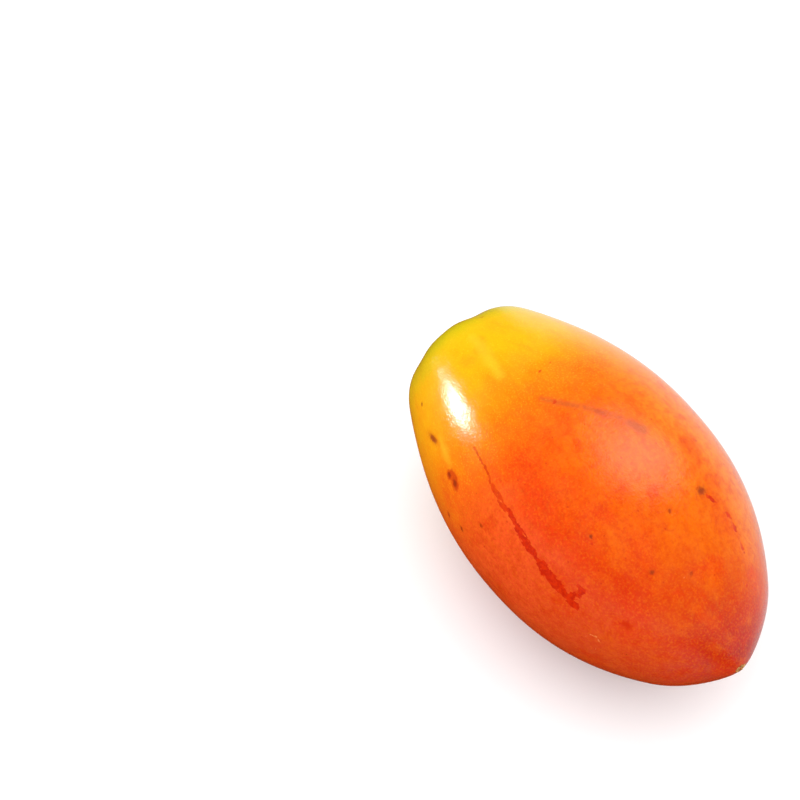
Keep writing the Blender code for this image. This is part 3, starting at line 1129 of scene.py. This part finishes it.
# Floor and light. What only the glossy skin sees is kept apart from the even light that falls on it
FLOOR_HALF_SIZE = 3.0
FLOOR_DROP = 0.00003
# The floor is this white to the camera. To all other rays it is a dimmer grey, and on its -Y side and beyond
# the stem end a dark red painted shade
FLOOR_COLOUR = (0.95, 0.95, 0.95, 1.0)
FLOOR_BOUNCE = (0.58, 0.58, 0.58, 1.0)
FLOOR_SHADE = (0.34, 0.07, 0.01, 1.0)
FLOOR_ROUGHNESS = 0.7
FLOOR_SPECULAR = 0.1
LIT_FLOOR_START = 0.0
LIT_FLOOR_FULL = 0.03
STEM_SIDE_START = -0.028
STEM_SIDE_FULL = -0.008
ROOM_LIGHT = 1.55
ROOM_SHEEN = 0.03
HORIZON_SHEEN = 0.42
HORIZON_HEIGHT = 0.6
HORIZON_START = -1.1
HORIZON_FULL = 0.1
STEM_SIDE_DARK = -0.95
STEM_SIDE_LIT = -0.6
KEY_TURN = -61.0
KEY_ELEVATION = 5.0
KEY_DISTANCE = 1.1
KEY_WIDTH = 0.25
KEY_HEIGHT = 0.135
KEY_POWER = 8.2
CLOUD_MIDDLE = (-0.16, 0.51, 0.845)
CLOUD_ACROSS = (0.0, 0.858, -0.514)
CLOUD_HALF_LENGTH = 0.34
CLOUD_HALF_WIDTH = 0.66
CLOUD_LIGHT = 4.0
WHITE = (1.0, 1.0, 1.0, 1.0)

# The frame's own axes, as ways to measure along
TOWARDS_TIP = (1.0, 0.0, 0.0)
TOWARDS_BACK = (0.0, 1.0, 0.0)
UPWARDS = (0.0, 0.0, 1.0)


def direction(turn, elevation):
    """Direction from the fruit at a turn from -Y towards +X and an elevation, both in degrees."""
    flat = math.cos(math.radians(elevation))
    angle = math.radians(turn)
    return Vector((math.sin(angle) * flat, -math.cos(angle) * flat, math.sin(math.radians(elevation))))


def lit_side():
    """Level direction towards the side that the room's brightness comes from."""
    return direction(CAMERA_TURN + 90.0, 0.0)


def alignment(tree, vector, way):
    """How far a vector reaches along a way."""
    sockets = {0: vector, 1: tuple(way)}
    return add_node(tree, "VectorMath", sockets, operation="DOT_PRODUCT").outputs["Value"]


def add_floor():
    """A plain white floor as the camera sees it. To the fruit it is a dimmer grey, with a dark red painted
    shade on its -Y side and beyond the stem end, so it throws little light back at the fruit's shaded side.
    """
    size = FLOOR_HALF_SIZE
    mesh = bpy.data.meshes.new("floor")
    corners = [(-size, -size, 0), (size, -size, 0), (size, size, 0), (-size, size, 0)]
    mesh.from_pydata(corners, [], [(0, 1, 2, 3)])
    material, tree, shader = new_material("pale_floor")
    place = add_node(tree, "TexCoord").outputs["Object"]
    beside = ease(tree, alignment(tree, place, TOWARDS_BACK), LIT_FLOOR_START, LIT_FLOOR_FULL)
    past_stem = ease(tree, alignment(tree, place, lit_side()), STEM_SIDE_START, STEM_SIDE_FULL)
    # Painted shade: dark red on the -Y side and beyond the stem end, seen by all rays but the camera's
    bounce_and_painted_shade = blend(tree, both(tree, beside, past_stem), FLOOR_SHADE, FLOOR_BOUNCE)
    seen = add_node(tree, "LightPath").outputs["Is Camera Ray"]
    tree.links.new(blend(tree, seen, bounce_and_painted_shade, FLOOR_COLOUR), shader.inputs["Base Color"])
    shader.inputs["Roughness"].default_value = FLOOR_ROUGHNESS
    shader.inputs["Specular IOR Level"].default_value = FLOOR_SPECULAR
    mesh.materials.append(material)
    floor = bpy.data.objects.new("floor", mesh)
    floor.location.z = -FLOOR_DROP
    bpy.context.scene.collection.objects.link(floor)


def add_key_light():
    """A lamp that shows as a highlight only."""
    data = bpy.data.lights.new("key", "AREA")
    data.shape = "ELLIPSE"
    data.size = KEY_WIDTH
    data.size_y = KEY_HEIGHT
    data.energy = KEY_POWER
    lamp = bpy.data.objects.new("key", data)
    away = direction(KEY_TURN, KEY_ELEVATION)
    lamp.location = away * KEY_DISTANCE + Vector((0, 0, AXIS_HEIGHT * MM))
    lamp.rotation_euler = away.to_track_quat("Z", "Y").to_euler()
    lamp.visible_diffuse = False
    bpy.context.scene.collection.objects.link(lamp)


def light_studio():
    """Even white room light, and a soft bright cloud overhead that shows in the glossy skin."""
    world = bpy.data.worlds.new("studio")
    world.use_nodes = True
    world.cycles.sampling_method = "NONE"
    tree = world.node_tree
    sky = add_node(tree, "TexCoord").outputs["Generated"]
    off_middle = add_node(tree, "VectorMath", {0: sky, 1: CLOUD_MIDDLE}, operation="SUBTRACT").outputs[0]
    off_axis = calculate(tree, "DIVIDE", alignment(tree, off_middle, TOWARDS_TIP), CLOUD_HALF_LENGTH)
    off_across = calculate(tree, "DIVIDE", alignment(tree, off_middle, CLOUD_ACROSS), CLOUD_HALF_WIDTH)
    off_square = sum_of(tree, both(tree, off_axis, off_axis), both(tree, off_across, off_across))
    height = alignment(tree, sky, UPWARDS)
    above = calculate(tree, "GREATER_THAN", height, 0.0)
    glow = both(tree, both(tree, ease(tree, off_square, 1.0, 0.0), above), CLOUD_LIGHT)
    low_band = ease(tree, height, HORIZON_HEIGHT, 0.0)
    lit = ease(tree, alignment(tree, sky, lit_side()), HORIZON_START, HORIZON_FULL)
    past_stem = ease(tree, alignment(tree, sky, TOWARDS_TIP), STEM_SIDE_DARK, STEM_SIDE_LIT)
    lit_band = both(tree, both(tree, low_band, lit), past_stem)
    sheen = sum_of(tree, glow, both(tree, lit_band, HORIZON_SHEEN), ROOM_SHEEN)
    glossy = add_node(tree, "LightPath").outputs["Is Glossy Ray"]
    background = tree.nodes["Background"]
    tree.links.new(between(tree, glossy, ROOM_LIGHT, sheen), background.inputs["Strength"])
    background.inputs["Color"].default_value = WHITE
    bpy.context.scene.world = world


def add_camera():
    back = direction(CAMERA_TURN, CAMERA_ELEVATION)
    right = Vector((math.cos(math.radians(CAMERA_TURN)), math.sin(math.radians(CAMERA_TURN)), 0.0))
    up = back.cross(right)
    place = Vector((0.0, 0.0, AXIS_HEIGHT)) + back * CAMERA_DISTANCE
    place += right * CAMERA_AIM_RIGHT + up * CAMERA_AIM_UP
    data = bpy.data.cameras.new("camera")
    data.lens = CAMERA_LENS_MM
    data.sensor_width = CAMERA_SENSOR_MM
    data.clip_start = CAMERA_NEAR
    camera = bpy.data.objects.new("camera", data)
    axes = Matrix((right, up, back)).transposed()
    camera.matrix_world = Matrix.Translation(place * MM) @ axes.to_4x4()
    bpy.context.scene.collection.objects.link(camera)
    bpy.context.scene.camera = camera


stations = skin_stations()
turns = np.arange(AROUND) * 360.0 / AROUND
whole = skin_points(stations[:, None], turns[None, :]).reshape(-1, 3)
low, high = whole.min(axis=0), whole.max(axis=0)
nub_foot = cap_stations(float(flank_radius(LENGTH)), NUB_RADIUS, BLOSSOM_CAP, BLOSSOM_BLUNTNESS, 1)[0]
nub_tip = skin_points(LENGTH - nub_foot, 0.0)[0] + NUB_RISE
LAID_ORIGIN = np.array([nub_tip - cad_high.x / MM, (low[1] + high[1]) / 2, low[2] + FLAT_SAG])

make_mottle_group()
make_fleck_group()
build_skin(make_skin_material())
build_stem_scar(make_cork_material())
build_style_scar(make_style_material())
add_floor()
light_studio()
add_key_light()
add_camera()
bpy.context.scene.view_settings.view_transform = "Standard"
